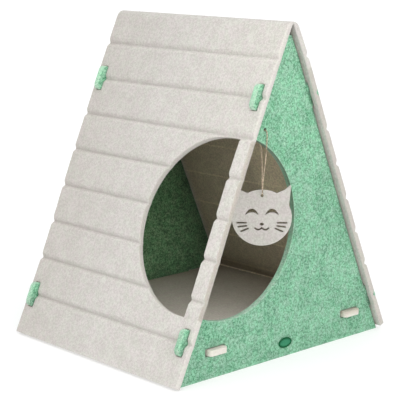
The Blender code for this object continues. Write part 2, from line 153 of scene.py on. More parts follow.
# Boxes of points over the flat panels: low and high across, low and high along, and the step between them
GABLE_POINTS = (-0.23, 0.23, 0.0, GABLE_TOP, 0.0052)
FLOOR_POINTS = (-0.21, 0.21, -0.19, 0.19, 0.0056)
PENDANT_POINTS = (-0.046, 0.046, -0.076, 0.018, 0.0019)

HALF_DEPTH = HOUSE_DEPTH / 2
GABLE_FACE = HALF_DEPTH - GABLE_INSET
GABLE_MIDDLE = GABLE_FACE - FELT / 2

# The fold at the ridge, measured along the sheet
FOLD_SWEEP = math.pi / 2 - HALF_ANGLE
FOLD_LENGTH = RIDGE_RADIUS * FOLD_SWEEP
FOLD_END = RIDGE_RADIUS / math.tan(HALF_ANGLE) - RIDGE_DROP
CREASE_ARC = CREASE_RADIUS * FOLD_SWEEP
CREASE_STRAIGHT = (RIDGE_RADIUS - CREASE_RADIUS - FELT) / math.tan(HALF_ANGLE)

scene = bpy.context.scene


# ---- camera and light

CAMERA_PLACE = Vector((-1.3935, -1.4786, 0.6188))
CAMERA_YAW = math.radians(-43.209)
CAMERA_PITCH = math.radians(11.317)
CAMERA_ROLL = math.radians(0.170)
CAMERA_LENS = 119.64


def add_object(name, data):
    """A new object of the scene."""
    item = bpy.data.objects.new(name, data)
    scene.collection.objects.link(item)
    return item


def make_camera():
    """Above and to the left of the front corner, looking slightly down."""
    level, fall = math.cos(CAMERA_PITCH), math.sin(CAMERA_PITCH)
    back = Vector((math.sin(CAMERA_YAW) * level, -math.cos(CAMERA_YAW) * level, fall))
    side = Vector((math.cos(CAMERA_YAW), math.sin(CAMERA_YAW), 0.0))
    up = back.cross(side)
    right = side * math.cos(CAMERA_ROLL) + up * math.sin(CAMERA_ROLL)
    above = up * math.cos(CAMERA_ROLL) - side * math.sin(CAMERA_ROLL)
    data = bpy.data.cameras.new("camera")
    data.lens = CAMERA_LENS
    data.sensor_width = 36.0
    data.clip_end = 100.0
    camera = add_object("camera", data)
    turn = Matrix((right, above, back)).transposed().to_4x4()
    camera.matrix_world = Matrix.Translation(CAMERA_PLACE) @ turn
    scene.camera = camera


def soft_sun(name, direction, strength, spread):
    """A broad even light that shines along a direction; its spread is in degrees."""
    data = bpy.data.lights.new(name, "SUN")
    data.energy = strength
    data.angle = math.radians(spread)
    light = add_object(name, data)
    light.rotation_euler = Vector(direction).to_track_quat("-Z", "Y").to_euler()


def make_light():
    """A white room and three broad lights: from the front, from the left and from above."""
    world = bpy.data.worlds.new("studio")
    world.use_nodes = True
    shade = world.node_tree.nodes["Background"]
    shade.inputs["Color"].default_value = (1.0, 1.0, 1.0, 1.0)
    shade.inputs["Strength"].default_value = 0.62
    scene.world = world
    soft_sun("front_light", (0.30, 1.0, -0.45), 1.15, 60)
    soft_sun("left_light", (1.0, 0.45, -0.75), 0.65, 70)
    soft_sun("top_light", (0.0, 0.1, -1.0), 0.9, 120)
    scene.view_settings.view_transform = "Standard"


def make_ground():
    """A wide pale floor, out past the edge of the view; its own faint light keeps the shade soft."""
    bm = bmesh.new()
    bmesh.ops.create_circle(bm, cap_ends=True, segments=96, radius=24.0)
    mesh = bpy.data.meshes.new("ground")
    bm.to_mesh(mesh)
    bm.free()
    grey, white = (0.56, 0.56, 0.56, 1.0), (1.0, 1.0, 1.0, 1.0)
    mat, _, _ = new_material("pale_ground", Base_Color=grey, Roughness=0.9, Specular_IOR_Level=0.1,
                             Emission_Color=white, Emission_Strength=0.46)
    mesh.materials.append(mat)
    add_object("ground", mesh)


# ---- nodes

def feed(tree, slot, value):
    """Link a socket to an input, or set the input to a plain value."""
    if isinstance(value, bpy.types.NodeSocket):
        tree.links.new(value, slot)
    elif value is not None:
        slot.default_value = value


def node(tree, kind, settings=None, **wires):
    """A node; settings are its own options, and wires name its input sockets, with _ for a space."""
    step = tree.nodes.new(kind)
    for label, value in (settings or {}).items():
        setattr(step, label, value)
    for label, value in wires.items():
        feed(tree, step.inputs[label.replace("_", " ")], value)
    return step


def new_tree(name, kind, inputs, outputs):
    """A Shader or Geometry tree; inputs and outputs give each named socket's kind."""
    tree = bpy.data.node_groups.new(name, kind + "NodeTree")
    for way, sockets in (("INPUT", inputs), ("OUTPUT", outputs)):
        for label, held in sockets.items():
            tree.interface.new_socket(label, in_out=way, socket_type="NodeSocket" + held)
    return tree, tree.nodes.new("NodeGroupInput").outputs, tree.nodes.new("NodeGroupOutput").inputs


def maths(tree, kind, a, b=None, clamp=False):
    """A maths node on sockets or plain numbers; gives its output."""
    step = node(tree, "ShaderNodeMath", {"operation": kind, "use_clamp": clamp})
    feed(tree, step.inputs[0], a)
    feed(tree, step.inputs[1], b)
    return step.outputs[0]


def times(tree, a, b):
    """One value times another."""
    return maths(tree, "MULTIPLY", a, b)


def plus(tree, a, b):
    """One value plus another."""
    return maths(tree, "ADD", a, b)


def weighted(tree, *parts):
    """Adds up values, each times its own weight."""
    total = 0.0
    for value, weight in parts:
        total = plus(tree, total, times(tree, value, weight))
    return total


def vector_step(tree, kind, a, b=None, scale=None):
    """A vector maths node; gives its output."""
    step = node(tree, "ShaderNodeVectorMath", {"operation": kind})
    feed(tree, step.inputs[0], a)
    feed(tree, step.inputs[1], b)
    feed(tree, step.inputs[3], scale)
    return step.outputs[0]


def noise(tree, where, scale, detail=2.0, rough=0.5, distort=0.0):
    """A noise texture; gives its grey output."""
    return node(tree, "ShaderNodeTexNoise", Vector=where, Scale=scale, Detail=detail, Roughness=rough,
                Distortion=distort).outputs["Fac"]


def ramp(tree, value, low, high):
    """Stretches the part of a value between low and high to 0..1."""
    return node(tree, "ShaderNodeMapRange", Value=value, From_Min=low, From_Max=high).outputs["Result"]


def opaque(value):
    """A colour with its fourth number; other values stay as they are."""
    return (*value, 1.0) if isinstance(value, tuple) else value


def blend(tree, share, first, second, kind="MIX"):
    """Mixes two colours by a share; each may be a socket or a plain value."""
    step = node(tree, "ShaderNodeMix", {"data_type": "RGBA", "blend_type": kind})
    for slot, value in ((0, share), (6, first), (7, second)):
        feed(tree, step.inputs[slot], opaque(value))
    return step.outputs[2]


def attribute(tree, name):
    """What a piece's points say about their place, such as cut_edge or rim."""
    return node(tree, "ShaderNodeAttribute", {"attribute_name": name}).outputs["Fac"]


def object_place(tree):
    """Where a spot lies on its piece, in metres."""
    return node(tree, "ShaderNodeTexCoord").outputs["Object"]


def new_material(name, **values):
    """A material; values name the sockets of its shader, with _ for a space."""
    mat = bpy.data.materials.new(name)
    mat.use_nodes = True
    shader = mat.node_tree.nodes["Principled BSDF"]
    for label, value in values.items():
        shader.inputs[label.replace("_", " ")].default_value = value
    return mat, mat.node_tree, shader


def dress_shader(tree, shader, colour, rough, height, strength, distance):
    """Feeds a shader its colour, its roughness and bumps of a height."""
    bumps = node(tree, "ShaderNodeBump", Strength=strength, Distance=distance, Height=height)
    for label, value in (("Base Color", colour), ("Roughness", rough), ("Normal", bumps.outputs["Normal"])):
        feed(tree, shader.inputs[label], value)


# ---- materials

# What each felt sets, and what the points of its panels say about their place
# Besides the cut edge, the marks and the inside tint and mottle paint light and shade into the felt's
# colour
FELT_TONES = ("Base", "Pale", "Deep", "Edge Tone", "Indoor Shade Tint", "Shade Tone")
FELT_SHARES = ("Clump", "Fleck", "Patchy", "Indoor Shade Mottle")
FELT_MARKS = ("Cut Edge", "Pressed", "Raised", "Inner Side", "Shade")

EVEN_FELT = {"Patchy": 0.0, "Indoor Shade Tint": (1.0, 1.0, 1.0), "Indoor Shade Mottle": 0.0}
OFF_WHITE = {"Base": (0.572, 0.556, 0.535), "Pale": (0.667, 0.650, 0.628), "Deep": (0.456, 0.436, 0.409),
             "Edge Tone": (0.66, 0.645, 0.615), "Shade Tone": (0.44, 0.38, 0.30), "Clump": 0.9,
             "Fleck": 0.42, "Indoor Shade Tint": (1.0, 0.90, 0.70), "Indoor Shade Mottle": 0.2}
MINT = {"Base": (0.137, 0.378, 0.224), "Pale": (0.312, 0.625, 0.432), "Deep": (0.003, 0.145, 0.056),
        "Edge Tone": (0.45, 0.68, 0.52), "Shade Tone": (0.24, 0.28, 0.22), "Clump": 1.0, "Fleck": 0.82,
        "Patchy": 0.5, "Indoor Shade Tint": (0.86, 0.82, 0.62), "Indoor Shade Mottle": 0.5}
FLOOR_WHITE = {"Base": (0.73, 0.69, 0.62), "Pale": (0.83, 0.79, 0.72), "Deep": (0.60, 0.555, 0.49),
               "Edge Tone": (0.70, 0.68, 0.63), "Shade Tone": (0.44, 0.36, 0.26), "Clump": 0.9,
               "Fleck": 0.40}
PENDANT_WHITE = {"Base": (0.49, 0.47, 0.452), "Pale": (0.56, 0.543, 0.522), "Deep": (0.395, 0.376, 0.35),
                 "Edge Tone": (0.55, 0.535, 0.50), "Shade Tone": (0.08, 0.065, 0.05), "Clump": 0.9,
                 "Fleck": 0.4}


def thread_lines(tree, where, scale, width):
    """Thin curling lines, like loose fibres: bright where a noise crosses its middle."""
    wander = noise(tree, where, scale, 1.0, 0.4, 1.2)
    off = maths(tree, "ABSOLUTE", maths(tree, "SUBTRACT", wander, 0.5))
    return maths(tree, "SUBTRACT", 1.0, maths(tree, "DIVIDE", off, width), clamp=True)


def felt_group():
    """Matted fibres: soft clouds, fine clumps, loose threads, pale and dark flecks, pale cut edges.

    A noise is given its scale, detail, roughness and curl; a blend its share and its two colours.
    """
    colours, numbers = dict.fromkeys(FELT_TONES, "Color"), dict.fromkeys(FELT_SHARES + FELT_MARKS, "Float")
    group, given, result = new_tree("felt_fibres", "Shader", {"Where": "Vector", **colours, **numbers},
                                    {"Colour": "Color", "Height": "Float", "Rough": "Float"})
    where = given["Where"]
    cloud = noise(group, where, 42.0, 2.0, 0.55)
    clump = noise(group, where, 330.0, 3.0, 0.6, 0.6)
    fine = noise(group, where, 640.0, 2.0, 0.6, 0.8)
    long_threads = thread_lines(group, where, 300.0, 0.05)
    short_threads = thread_lines(group, where, 620.0, 0.06)
    threads = times(group, maths(group, "MAXIMUM", long_threads, short_threads), 0.30)
    dark_spots = ramp(group, noise(group, where, 410.0, 1.0, 0.5, 0.4), 0.62, 0.76)
    pale_spots = ramp(group, noise(group, where, 360.0, 1.0, 0.5, 0.9), 0.60, 0.74)
    tint = ramp(group, noise(group, where, 90.0, 1.0, 0.5, 0.5), 0.38, 0.62)
    warmth = blend(group, tint, (1.0, 0.965, 0.965), (0.985, 1.0, 0.955))
    faded = blend(group, tint, (1.18, 0.98, 1.06), (0.86, 1.0, 0.96))

    tone = weighted(group, (ramp(group, clump, 0.45, 0.55), 0.50), (ramp(group, fine, 0.43, 0.57), 0.32),
                    (ramp(group, cloud, 0.40, 0.60), 0.18))
    relief = blend(group, tone, (0.5, 0.5, 0.5), (1.5, 1.5, 1.5))
    cut_fibres = times(group, times(group, given["Cut Edge"], 0.8), ramp(group, fine, 0.25, 0.65))
    colour = blend(group, given["Clump"], given["Base"], blend(group, tone, given["Deep"], given["Pale"]))
    # flecks, threads, cut fibres, warmth and patches are the felt's own; the other layers paint light and
    # shade
    layers = [("MIX", times(group, dark_spots, given["Fleck"]), given["Deep"]),
              ("MIX", times(group, pale_spots, given["Fleck"]), given["Pale"]),
              ("MIX", times(group, threads, given["Clump"]), given["Pale"]),
              ("MIX", cut_fibres, given["Edge Tone"]),
              ("MIX", times(group, given["Pressed"], 0.55), given["Deep"]),
              ("MULTIPLY", given["Raised"], (1.55, 1.55, 1.5)),
              ("MULTIPLY", 1.0, warmth),
              ("MULTIPLY", given["Patchy"], faded),
              ("MULTIPLY", given["Inner Side"], given["Indoor Shade Tint"]),
              ("MULTIPLY", times(group, given["Inner Side"], given["Indoor Shade Mottle"]), relief),
              ("MULTIPLY", given["Shade"], given["Shade Tone"])]
    for kind, share, over in layers:
        colour = blend(group, share, colour, over, kind)
    height = weighted(group, (clump, 0.55), (fine, 0.25), (threads, 0.5), (cloud, 0.5))
    rough = plus(group, 0.86, times(group, clump, 0.12))
    for label, value in (("Colour", colour), ("Height", height), ("Rough", rough)):
        feed(group, result[label], value)
    return group


def felt(name, group, looks, bump=0.55):
    """One colour of felt."""
    mat, tree, shader = new_material(name, Specular_IOR_Level=0.15, Sheen_Weight=0.25, Sheen_Roughness=0.6)
    fibres = node(tree, "ShaderNodeGroup", {"node_tree": group}, Where=object_place(tree))
    for label, value in {**EVEN_FELT, **looks}.items():
        feed(tree, fibres.inputs[label], opaque(value))
    for label in FELT_MARKS:
        feed(tree, fibres.inputs[label], attribute(tree, label.lower().replace(" ", "_")))
    colour, rough, height = (fibres.outputs[label] for label in ("Colour", "Rough", "Height"))
    dress_shader(tree, shader, colour, rough, height, bump, 0.0022)
    return mat


def jute_material():
    """Coarse tan fibres, dark between them and pale at their tips."""
    mat, tree, shader = new_material("jute", Specular_IOR_Level=0.2)
    coarse = noise(tree, object_place(tree), 520.0, 3.0, 0.6)
    fine = noise(tree, object_place(tree), 2600.0, 2.0, 0.6)
    tone = blend(tree, ramp(tree, coarse, 0.40, 0.54), (0.12, 0.085, 0.05), (0.60, 0.49, 0.36))
    tone = blend(tree, times(tree, ramp(tree, fine, 0.45, 0.7), 0.4), tone, (0.70, 0.60, 0.46))
    dress_shader(tree, shader, tone, plus(tree, 0.78, times(tree, coarse, 0.2)), fine, 0.6, 0.0003)
    return mat


def rubber_material():
    """Green moulded rubber, slightly dusty, with a darker rim."""
    mat, tree, shader = new_material("green_rubber", Specular_IOR_Level=0.12)
    cloud = noise(tree, object_place(tree), 260.0, 3.0, 0.6)
    grain = noise(tree, object_place(tree), 2200.0, 2.0, 0.5)
    tone = blend(tree, ramp(tree, cloud, 0.3, 0.75), (0.022, 0.170, 0.085), (0.045, 0.235, 0.125))
    tone = blend(tree, attribute(tree, "rim"), tone, (0.001, 0.072, 0.022))
    dress_shader(tree, shader, tone, plus(tree, 0.42, times(tree, cloud, 0.3)), grain, 0.25, 0.0002)
    return mat


# ---- outlines

def arc(centre, radii, start, sweep, steps):
    """Points along an ellipse, its two ends included."""
    turns = [start + sweep * i / steps for i in range(steps + 1)]
    return [(centre[0] + radii[0] * math.cos(a), centre[1] + radii[1] * math.sin(a)) for a in turns]


def ellipse(centre_u, centre_v, half_u, half_v, steps):
    """A closed round outline."""
    return arc((centre_u, centre_v), (half_u, half_v), 0.0, 2 * math.pi, steps)[:-1]


def rounded_box(centre_u, centre_v, half_u, half_v, radius, steps=3):
    """A closed box with round corners."""
    points = []
    for quarter, (side_u, side_v) in enumerate(((1, 1), (-1, 1), (-1, -1), (1, -1))):
        corner = centre_u + side_u * (half_u - radius), centre_v + side_v * (half_v - radius)
        points += arc(corner, (radius, radius), quarter * math.pi / 2, math.pi / 2, steps)
    return points


def round_tab(low, high, root, end, radius, steps=8):
    """A tab from root to end between low and high, round at its free end."""
    first = arc((low + radius, end - radius), (-radius, radius), 0.0, math.pi / 2, steps)
    second = arc((high - radius, end - radius), (radius, radius), math.pi / 2, -math.pi / 2, steps)
    return [(low, root)] + first + second + [(high, root)]


def even_line(points, step):
    """A line again without its last point, its corners kept and its long sides cut into even steps."""
    fine = []
    for a, b in zip(points, points[1:]):
        count = max(1, math.ceil(math.dist(a, b) / step))
        fine += [(a[0] + (b[0] - a[0]) * k / count, a[1] + (b[1] - a[1]) * k / count) for k in range(count)]
    return fine


def even_loop(points, step):
    """A closed outline in even steps."""
    return np.array(even_line(points + points[:1], step))


# ---- the slopes

def bow_at(side, down):
    """How far the slope stands out from straight; planks stay straight between the grooves."""
    rows = BOW[side]
    place = np.clip(np.asarray(down) / PLANK, 0.0, len(rows) - 1.0)
    return np.interp(place, range(len(rows)), rows)


def slope_point(side, down, out):
    """(x, z) on a slope; out is measured from the straight outer face."""
    reach = down + RIDGE_DROP
    lift = out + bow_at(side, down)
    x = side * (reach * math.sin(HALF_ANGLE) + lift * math.cos(HALF_ANGLE))
    z = APEX_HEIGHT - reach * math.cos(HALF_ANGLE) + lift * math.sin(HALF_ANGLE)
    return x, z


def straight_point(side, anchor, down, out):
    """As slope_point, but in the flat frame of the slope at one distance down."""
    x, z = slope_point(side, anchor, 0.0)
    x += side * ((down - anchor) * math.sin(HALF_ANGLE) + out * math.cos(HALF_ANGLE))
    z += out * math.sin(HALF_ANGLE) - (down - anchor) * math.cos(HALF_ANGLE)
    return x, z


def down_at_height(side, height, out):
    """Distance down the slope at which it crosses a height."""
    low, high = 0.0, (PLANKS + 1) * PLANK
    for _ in range(50):
        middle = (low + high) / 2
        if slope_point(side, middle, out)[1] > height:
            low = middle
        else:
            high = middle
    return (low + high) / 2


def along_sheet(side, down):
    """Flat distance from the middle of the ridge, negative on the left."""
    return side * (FOLD_LENGTH + down - FOLD_END)


def down_slope(u):
    """How far down its slope a point of the flat sheet lies; the ridge's fold counts as its end."""
    return np.maximum(np.abs(u) - FOLD_LENGTH, 0.0) + FOLD_END


# ---- geometry nodes

def maker_tree(name, numbers):
    """A geometry tree with a number input for each named size."""
    sizes = {label: "Int" if isinstance(value, int) else "Float" for label, value in numbers.items()}
    return new_tree(name, "Geometry", {"Geometry": "Geometry", **sizes}, {"Geometry": "Geometry"})


def geo_node(tree, kind, settings=None, **wires):
    """A geometry node."""
    return node(tree, "GeometryNode" + kind, settings, **wires)


def end_tree(tree, made, mat, result):
    """Real geometry with its material, as the end of a tree."""
    real = geo_node(tree, "RealizeInstances", Geometry=made)
    done = geo_node(tree, "SetMaterial", Geometry=real.outputs[0], Material=mat)
    feed(tree, result["Geometry"], done.outputs[0])
    return tree


def run_tree(name, source, tree, numbers):
    """Run a geometry tree on an object; its result is a new piece with a plain mesh."""
    step = source.modifiers.new("maker", "NODES")
    step.node_group = tree
    for item in tree.interface.items_tree:
        if item.in_out == "INPUT" and item.name in numbers:
            step[item.identifier] = numbers[item.name]
    graph = bpy.context.evaluated_depsgraph_get()
    mesh = bpy.data.meshes.new_from_object(source.evaluated_get(graph), preserve_all_data_layers=True,
                                           depsgraph=graph)
    source.modifiers.remove(step)
    mesh.name = name
    mesh.polygons.foreach_set("use_smooth", [True] * len(mesh.polygons))
    return add_object(name, mesh)


# ---- felt panels

def signed_area(loop):
    """Area of a loop, above zero where it runs anticlockwise."""
    ahead = np.roll(loop, -1, axis=0)
    return float((loop[:, 0] * ahead[:, 1] - ahead[:, 0] * loop[:, 1]).sum() / 2)


def inward(loop):
    """Unit directions into the felt, for a loop with the felt on its left."""
    ahead = np.roll(loop, -1, axis=0) - loop
    ahead /= np.linalg.norm(ahead, axis=1, keepdims=True)
    both = ahead + np.roll(ahead, 1, axis=0)
    both /= np.maximum(np.linalg.norm(both, axis=1, keepdims=True), 1e-9)
    return np.stack([-both[:, 1], both[:, 0]], axis=1)


def covered(points, outlines):
    """Which points lie on the felt: inside the outer outline and in none of the holes."""
    odd = np.zeros(len(points), bool)
    for outline in outlines:
        loop = np.array(outline)
        for a, b in zip(loop, np.roll(loop, -1, axis=0)):
            if a[1] == b[1]:
                continue
            between = (points[:, 1] < a[1]) != (points[:, 1] < b[1])
            cross = a[0] + (points[:, 1] - a[1]) / (b[1] - a[1]) * (b[0] - a[0])
            odd ^= between & (points[:, 0] < cross)
    return odd


def edge_distance(points, loops):
    """Distance of each point from the nearest cut edge."""
    corners, before, after = [], [], []
    for loop in loops:
        corners.append(loop)
        before.append(np.roll(loop, 1, axis=0))
        after.append(np.roll(loop, -1, axis=0))
    corners, before, after = (np.concatenate(part) for part in (corners, before, after))
    tree = KDTree(len(corners))
    for i, (u, v) in enumerate(corners):
        tree.insert((u, v, 0.0), i)
    tree.balance()
    nearest = np.array([tree.find((u, v, 0.0))[1] for u, v in points])
    best = np.full(len(points), np.inf)
    for start in (before, after):
        a = start[nearest]
        side = corners[nearest] - a
        share = ((points - a) * side).sum(1) / np.maximum((side * side).sum(1), 1e-15)
        foot = a + unit(share)[:, None] * side
        best = np.minimum(best, np.linalg.norm(points - foot, axis=1))
    return best


# The triangles are found in millimetres
TO_MM = 1000


def flat_plan(outer, holes, step, edge_round, grid):
    """Triangles of a flat panel, with rings of points that follow each cut edge."""
    loops = []
    for number, outline in enumerate([outer] + holes):
        loop = even_loop(outline, step)
        if (signed_area(loop) > 0) != (number == 0):
            loop = loop[::-1]
        loops.append(loop)
    # three rings on the rounded edge and one past it, without the points that crowd in a corner
    last_ring = 2.0 * edge_round
    rings = [edge_round * (1 - math.cos(math.radians(a))) for a in (30, 60, 90)] + [last_ring]
    extra = []
    for offset in rings:
        for loop in loops:
            ring = loop + inward(loop) * offset
            extra.append(ring[edge_distance(ring, loops) > 0.9 * offset])
    clear = last_ring + 0.35 * step
    extra.append(grid[edge_distance(grid, loops) > clear])
    extra = np.concatenate(extra)
    extra = extra[covered(extra, [outer] + holes)]
    points = [Vector(p) * TO_MM for p in np.concatenate(loops + [extra])]
    sides, start = [], 0
    for loop in loops:
        count = len(loop)
        sides += [(start + i, start + (i + 1) % count) for i in range(count)]
        start += count
    found, _, faces, _, _, _ = delaunay_2d_cdt(points, sides, [], 0, 1e-5)
    flat = np.array(found) / TO_MM
    faces = np.array([f for f in faces if len(f) == 3])
    faces = faces[covered(flat[faces].mean(axis=1), [outer] + holes)]
    used, faces = np.unique(faces, return_inverse=True)
    return flat[used], faces.reshape(-1, 3), loops


def rim_sides(faces):
    """The sides that only one triangle uses, in that triangle's direction."""
    sides = np.concatenate([faces[:, [0, 1]], faces[:, [1, 2]], faces[:, [2, 0]]])
    key = np.sort(sides, axis=1)
    _, first, count = np.unique(key, axis=0, return_index=True, return_counts=True)
    return sides[first[count == 1]]


def wander(u, v, seed):
    """Smooth waves of six lengths, between about -1 and 1, the same every time."""
    dice = np.random.default_rng(seed)
    total = np.zeros_like(u)
    for wave in (0.011, 0.017, 0.026, 0.041, 0.075, 0.14):
        for _ in range(3):
            turn, start = dice.random(2) * 2 * math.pi
            total += np.sin((u * math.cos(turn) + v * math.sin(turn)) * 2 * math.pi / wave + start)
    return total / 7.0


def mesh_piece(name, points, faces, mat, marks):
    """A smooth mesh object with number attributes on its points."""
    mesh = bpy.data.meshes.new(name)
    mesh.from_pydata([tuple(p) for p in points], [], faces)
    mesh.polygons.foreach_set("use_smooth", [True] * len(mesh.polygons))
    for label, values in marks.items():
        layer = mesh.attributes.new(label, "FLOAT", "POINT")
        layer.data.foreach_set("value", np.asarray(values, np.float32))
    mesh.materials.append(mat)
    mesh.update()
    return add_object(name, mesh)


def near(distance, reach):
    """1 at a line, falling softly to 0 within about twice the reach."""
    return np.exp(-(np.asarray(distance) / reach) ** 2)


def near_circle(u, v, centre, radius, reach):
    """1 on a circle, falling softly to 0 on both sides of it."""
    return near(np.hypot(u - centre[0], v - centre[1]) - radius, reach)


def past_box(past_u, past_v):
    """Distance from a box, from how far a point lies past its sides in both directions."""
    return np.hypot(np.maximum(past_u, 0.0), np.maximum(past_v, 0.0))


def unit(value):
    """Held between 0 and 1."""
    return np.clip(value, 0.0, 1.0)


def off_edge(from_edge):
    """0 on a cut edge, 1 from 2 mm inside it."""
    return unit(from_edge / 0.002)


def fading(distance, reach):
    """1 at an edge and less and less away from it; 0 on its other side."""
    return np.where(distance < 0.0, 0.0, np.exp(-np.maximum(distance, 0.0) / reach))


def felt_panel(name, outer, holes, place, tones, mat, grid, edge_round=PANEL_ROUND, thickness=FELT,
               step=0.0026, uneven=0.00012):
    """Cut a panel from flat felt with rounded edges and lay it in its place.

    place maps flat points and a height through the felt, outside up, to points of the house. tones gives
    for the same points the outside and inside share of each named look. Nothing goes below the ground.
    """
    flat, faces, loops = flat_plan(outer, holes, step, edge_round, grid)
    from_edge = edge_distance(flat, loops)
    rim = rim_sides(faces)
    from_edge[np.unique(rim)] = 0.0
    inside = unit(1 - from_edge / edge_round)
    half = thickness / 2 - edge_round + edge_round * np.sqrt(1 - inside ** 2)
    u = flat[:, 0] + uneven * wander(flat[:, 0], flat[:, 1], 3)
    v = flat[:, 1] + uneven * wander(flat[:, 0], flat[:, 1], 4)
    top = place(u, v, half + uneven * wander(u, v, 5))
    bottom = place(u, v, -half - uneven * wander(u, v, 6))
    points = np.concatenate([top, bottom])
    points[:, 2] = np.maximum(points[:, 2], 0.0)
    count = len(flat)
    both = np.concatenate([faces, faces[:, ::-1] + count])
    walls = np.stack([rim[:, 1], rim[:, 0], rim[:, 0] + count, rim[:, 1] + count], axis=1)
    every = both.tolist() + walls.tolist()
    a, b, c = (points[both[:, i]] for i in range(3))
    inside_out = (a * np.cross(b, c)).sum() < 0
    if inside_out:
        every = [face[::-1] for face in every]
    cut_edge = near(from_edge, 1.3 * edge_round)
    marks = {"cut_edge": (cut_edge, cut_edge), **tones(flat[:, 0], flat[:, 1], from_edge)}
    marks = {label: unit(np.concatenate(pair)) for label, pair in marks.items()}
    return mesh_piece(name, points, every, mat, marks)


def grid_points(low_u, high_u, low_v, high_v, step):
    """Even points over a rectangle, every other row moved half a step."""
    rows = []
    for k, v in enumerate(np.arange(low_v, high_v, step * 0.87)):
        u = np.arange(low_u + (k % 2) * step / 2, high_u, step)
        rows.append(np.stack([u, np.full_like(u, v)], axis=1))
    return np.concatenate(rows)


# ---- loose hairs

# How many hairs on a square metre, their length, and their thickness as a share of it
HAIRS = {"Density": 9000.0, "Length": 0.0026, "Thickness": 0.025, "Seed": 11}
HAIR_CLEARANCE = 0.006


def random_between(tree, kind, low, high, seed):
    """A random value for each point; kind is FLOAT or FLOAT_VECTOR."""
    step = node(tree, "FunctionNodeRandomValue", {"data_type": kind}, Seed=seed)
    first, drawn = (0, 0) if kind == "FLOAT_VECTOR" else (2, 1)
    feed(tree, step.inputs[first], low)
    feed(tree, step.inputs[first + 1], high)
    return step.outputs[drawn]


def hair_tree(mat):
    """Short curved hairs that lean out of the felt, more of them along its edges, none at the ground."""
    tree, given, result = maker_tree("felt_hairs", HAIRS)
    edge = geo_node(tree, "InputNamedAttribute", Name="cut_edge").outputs["Attribute"]
    crowd = times(tree, given["Density"], plus(tree, 0.2, times(tree, edge, 2.0)))
    place = node(tree, "ShaderNodeSeparateXYZ", Vector=geo_node(tree, "InputPosition").outputs[0])
    crowd = times(tree, crowd, maths(tree, "GREATER_THAN", place.outputs["Z"], HAIR_CLEARANCE))
    felt_face, seed = given["Geometry"], given["Seed"]
    spots = geo_node(tree, "DistributePointsOnFaces", Mesh=felt_face, Density=crowd, Seed=seed)
    # one hair is about a unit long
    bend = geo_node(tree, "CurveQuadraticBezier", Resolution=3, Start=(0.0, 0.0, -0.1),
                    Middle=(0.1, 0.0, 0.7), End=(0.85, 0.2, 0.75))
    ring = geo_node(tree, "CurvePrimitiveCircle", Resolution=3, Radius=given["Thickness"])
    hair = geo_node(tree, "CurveToMesh", Curve=bend.outputs[0], Profile_Curve=ring.outputs[0],
                    Fill_Caps=True)
    size = times(tree, given["Length"], random_between(tree, "FLOAT", 0.45, 1.2, seed))
    placed = geo_node(tree, "InstanceOnPoints", Points=spots.outputs["Points"], Instance=hair.outputs[0],
                      Rotation=spots.outputs["Rotation"], Scale=size)
    lean = random_between(tree, "FLOAT_VECTOR", (-0.9, -0.9, 0.0), (0.9, 0.9, 2 * math.pi), seed)
    leaning = geo_node(tree, "RotateInstances", Instances=placed.outputs[0], Rotation=lean,
                       Local_Space=True)
    return end_tree(tree, leaning.outputs[0], mat, result)


# ---- roof

def past_groove(down):
    """Distance below the nearest groove's middle."""
    return down - np.clip(np.round(down / PLANK), 1, PLANKS - 1) * PLANK


def groove_share(down):
    """0 on a plank, 1 at the bottom of its pressed groove."""
    return unit(1 - np.abs(past_groove(down)) / (GROOVE_WIDTH / 2)) ** 1.3


def fold_points(side, share):
    """Outer and inner (x, z) of the ridge's bend, from its middle, share 0, to the slope, share 1."""
    turn = math.pi / 2 - share * FOLD_SWEEP
    centre = APEX_HEIGHT - RIDGE_RADIUS / math.sin(HALF_ANGLE)
    outer = side * RIDGE_RADIUS * np.cos(turn), centre + RIDGE_RADIUS * np.sin(turn)
    crease_apex = APEX_HEIGHT - FELT / math.sin(HALF_ANGLE)
    centre = crease_apex - CREASE_RADIUS / math.sin(HALF_ANGLE)
    along = share * (CREASE_ARC + CREASE_STRAIGHT)
    turn = math.pi / 2 - np.minimum(along, CREASE_ARC) / CREASE_RADIUS
    past = np.maximum(along - CREASE_ARC, 0.0)
    x = CREASE_RADIUS * np.cos(turn) + past * math.sin(HALF_ANGLE)
    z = centre + CREASE_RADIUS * np.sin(turn) - past * math.cos(HALF_ANGLE)
    return outer, (side * x, z)


def roof_place(u, v, w):
    """Fold the flat sheet: u along it from the ridge, v from front to back, w through the felt."""
    side = np.where(u < 0, -1.0, 1.0)
    share = np.minimum(np.abs(u) / FOLD_LENGTH, 1.0)
    down = down_slope(u)
    (x_out, z_out), (x_in, z_in) = fold_points(side, share)
    groove = groove_share(down)
    for one in (LEFT, RIGHT):
        here = (side == one) & (share >= 1.0)
        fade = unit((down - FOLD_END) / (PLANK - FOLD_END))
        lift = np.where(down < PLANK, fade * BOW[one][1], bow_at(one, down)) - bow_at(one, down)
        outer = slope_point(one, down, lift - groove * GROOVE_DEPTH)
        inner = slope_point(one, down, lift - FELT - groove * INNER_CREASE)
        x_out, z_out = np.where(here, outer[0], x_out), np.where(here, outer[1], z_out)
        x_in, z_in = np.where(here, inner[0], x_in), np.where(here, inner[1], z_in)
    up = 0.5 + w / FELT
    return np.stack([x_in + (x_out - x_in) * up, v, z_in + (z_out - z_in) * up], axis=1)


# Rows of points beside a groove's middle, as shares of half its width, and above the floor, in metres
GROOVE_ROWS = (0.0, 0.12, 0.26, 0.42, 0.6, 0.8, 1.0, 1.2)
FLOOR_ROWS = (-0.0012, 0.0, 0.0010, 0.0022, 0.0036)


